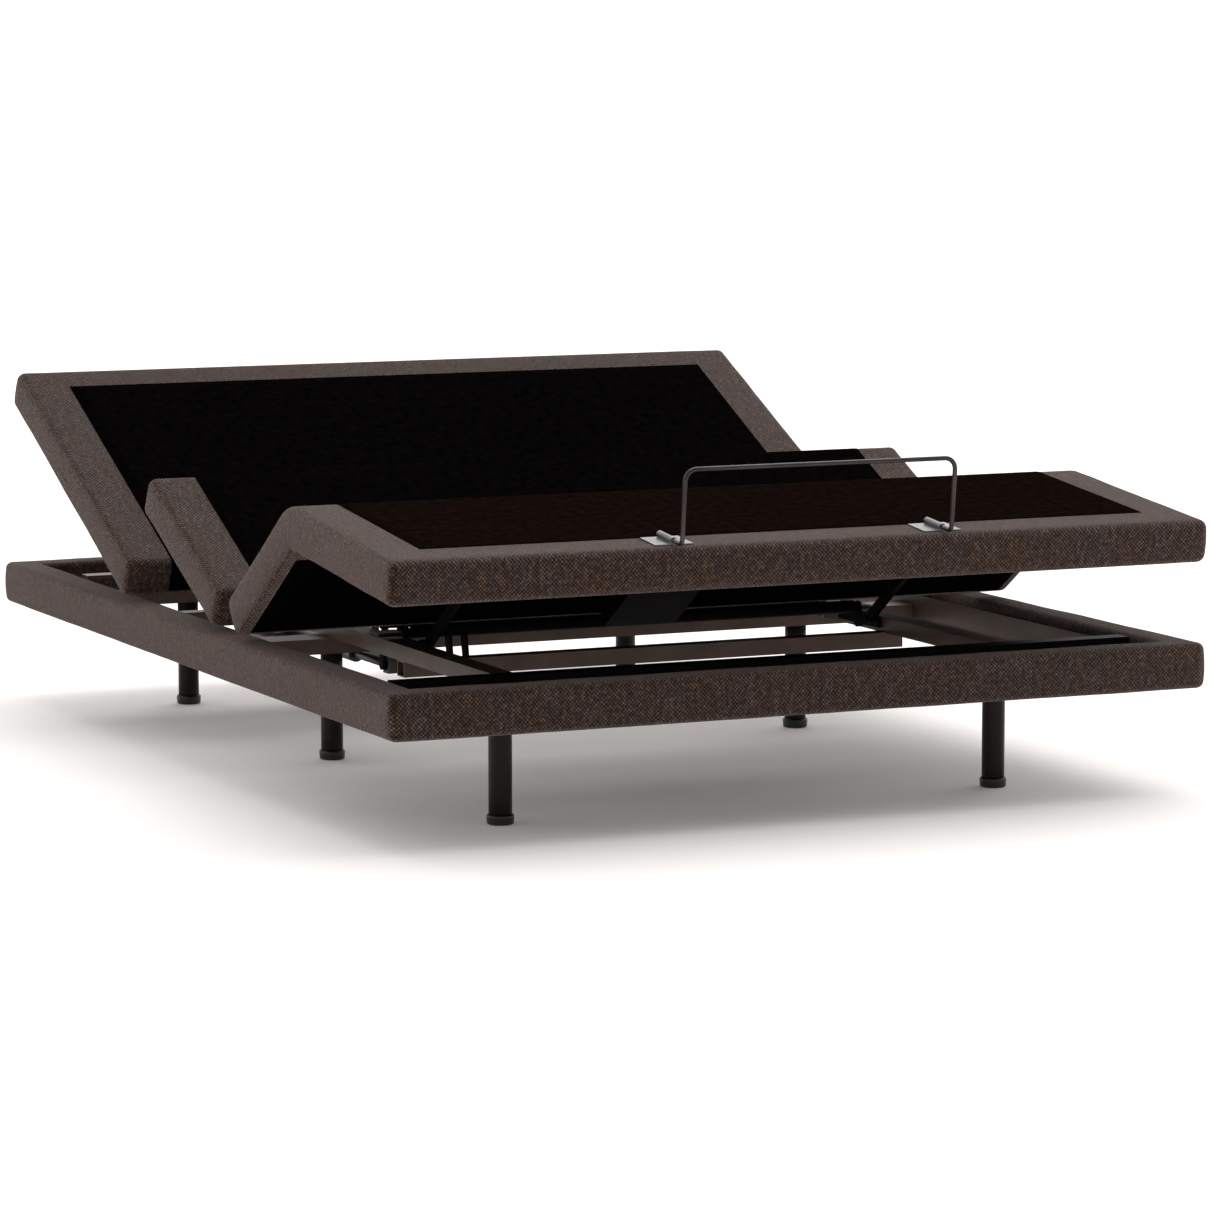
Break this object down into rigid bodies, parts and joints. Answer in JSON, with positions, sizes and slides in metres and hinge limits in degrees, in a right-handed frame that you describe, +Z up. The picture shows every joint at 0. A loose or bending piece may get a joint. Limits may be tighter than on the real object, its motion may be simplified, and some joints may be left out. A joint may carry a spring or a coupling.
{
  "type": "adjustable bed base",
  "caption": "Queen-size adjustable bed base: padded head, lumbar, thigh and foot sections lifted by electric drives over a low upholstered frame on round legs.",
  "frame": {"origin": "centre of the overall bounding box at floor level, in the pose of the picture (back, lumbar and legs raised)", "axes": "+X across the bed to the right as seen from the foot end, +Y from the foot end to the head end, +Z up"},
  "size_m": [1.524, 2.06, 0.6455],
  "materials": {
    "upholstery": "chunky brown tweed",
    "mat_fabric": "black non-slip cloth",
    "plywood": "raw plywood",
    "black_steel": "satin dark brown powder coat",
    "bright_steel": "satin",
    "black_plastic": "moulded, satin"
  },
  "bodies": {
    "frame": {"rail_left": "upholstery", "rail_right": "upholstery", "rail_foot": "upholstery", "rail_head": "upholstery", "side_plate_left": "black_steel", "side_plate_right": "black_steel", "long_tube_left": "black_steel", "long_tube_right": "black_steel", "foot_leg_cross_tube": "black_steel", "thigh_cross_tube": "black_steel", "middle_leg_cross_tube": "black_steel", "motor_cross_tube": "black_steel", "head_leg_cross_tube": "black_steel", "foot_end_tube": "black_steel", "head_flat_bar": "black_steel", "head_hinge_shaft": "bright_steel", "lumbar_hinge_shaft": "bright_steel", "head_motor": "black_plastic", "lumbar_motor": "black_plastic", "leg_motor": "black_plastic", "control_box": "black_plastic", "leg_foot_left": "black_steel", "leg_foot_right": "black_steel", "leg_middle_left": "black_steel", "leg_middle_right": "black_steel", "leg_head_left": "black_steel", "leg_head_right": "black_steel", "leg_glide_foot_left": "black_plastic", "leg_glide_foot_right": "black_plastic", "leg_glide_middle_left": "black_plastic", "leg_glide_middle_right": "black_plastic", "leg_glide_head_left": "black_plastic", "leg_glide_head_right": "black_plastic"},
    "head_section": {"head_cover": "upholstery", "head_board": "plywood", "head_mat": "mat_fabric", "head_lift_frame": "black_steel"},
    "lumbar_section": {"lumbar_cover": "upholstery", "lumbar_board": "plywood", "lumbar_mat": "mat_fabric", "lumbar_lift_frame": "black_steel"},
    "carriage": {"leg_carriage": "black_steel", "carriage_shoe_left": "black_plastic", "carriage_shoe_right": "black_plastic"},
    "thigh_section": {"thigh_cover": "upholstery", "thigh_board": "plywood", "thigh_mat": "mat_fabric", "thigh_lift_frame": "black_steel"},
    "foot_section": {"foot_cover": "upholstery", "foot_board": "plywood", "foot_mat": "mat_fabric", "foot_lift_frame": "black_steel", "retainer_plate_left": "bright_steel", "retainer_plate_right": "bright_steel"},
    "retainer": {"retainer_bar": "bright_steel"},
    "link_left": {"foot_link_left": "black_steel"},
    "link_right": {"foot_link_right": "black_steel"},
    "head_rod": {"head_push_rod": "bright_steel"},
    "lumbar_rod": {"lumbar_push_rod": "bright_steel"},
    "leg_rod": {"leg_push_rod": "bright_steel"}
  },
  "joints": [
    {"name": "head_lift", "type": "hinge", "parent": "frame", "child": "head_section", "pos_m": [0, 0.32597, 0.266], "axis": [1, 0, 0], "range_deg": [-25.5, 34.5]},
    {"name": "lumbar_lift", "type": "hinge", "parent": "frame", "child": "lumbar_section", "pos_m": [0, -0.15104, 0.266], "axis": [1, 0, 0], "range_deg": [-25.5, 4.5]},
    {"name": "carriage_slide", "type": "slide", "parent": "frame", "child": "carriage", "axis": [0, 1, 0], "range_m": [-0.0169, 0.0507]},
    {"name": "thigh_lift", "type": "hinge", "parent": "carriage", "child": "thigh_section", "pos_m": [0, -0.29663, 0.266], "axis": [-1, 0, 0], "range_deg": [-33.8, 11.2]},
    {"name": "knee_fold", "type": "hinge", "parent": "thigh_section", "child": "foot_section", "pos_m": [0, -0.55285, 0.44233], "axis": [1, 0, 0], "range_deg": [-39.9, 13.3]},
    {"name": "foot_link_left_swing", "type": "hinge", "parent": "carriage", "child": "link_left", "pos_m": [0, -0.36663, 0.2531], "axis": [-1, 0, 0], "range_deg": [-32.6, 10.9]},
    {"name": "foot_link_right_swing", "type": "hinge", "parent": "carriage", "child": "link_right", "pos_m": [0, -0.36663, 0.2531], "axis": [-1, 0, 0], "range_deg": [-32.6, 10.9]},
    {"name": "head_rod_slide", "type": "slide", "parent": "frame", "child": "head_rod", "axis": [0, 1, 0], "range_m": [-0.0345, 0.0466]},
    {"name": "lumbar_rod_slide", "type": "slide", "parent": "frame", "child": "lumbar_rod", "axis": [0, 1, 0], "range_m": [-0.0354, 0.0063]},
    {"name": "leg_rod_slide", "type": "slide", "parent": "frame", "child": "leg_rod", "axis": [0, 1, 0], "range_m": [-0.0323, 0.0971]},
    {"name": "retainer_slide", "type": "slide", "parent": "foot_section", "child": "retainer", "axis": [0, -0.9945, -0.1045], "range_m": [0, 0.07]}
  ],
  "couplings": [
    {"joint": "carriage_slide", "follows": "thigh_lift", "m_per_rad": -0.0858},
    {"joint": "knee_fold", "follows": "thigh_lift", "ratio": 1.1775},
    {"joint": "foot_link_left_swing", "follows": "thigh_lift", "ratio": 0.9612},
    {"joint": "foot_link_right_swing", "follows": "thigh_lift", "ratio": 0.9612},
    {"joint": "leg_rod_slide", "follows": "thigh_lift", "m_per_rad": -0.16433},
    {"joint": "head_rod_slide", "follows": "head_lift", "m_per_rad": 0.0772},
    {"joint": "lumbar_rod_slide", "follows": "lumbar_lift", "m_per_rad": 0.0791}
  ]
}
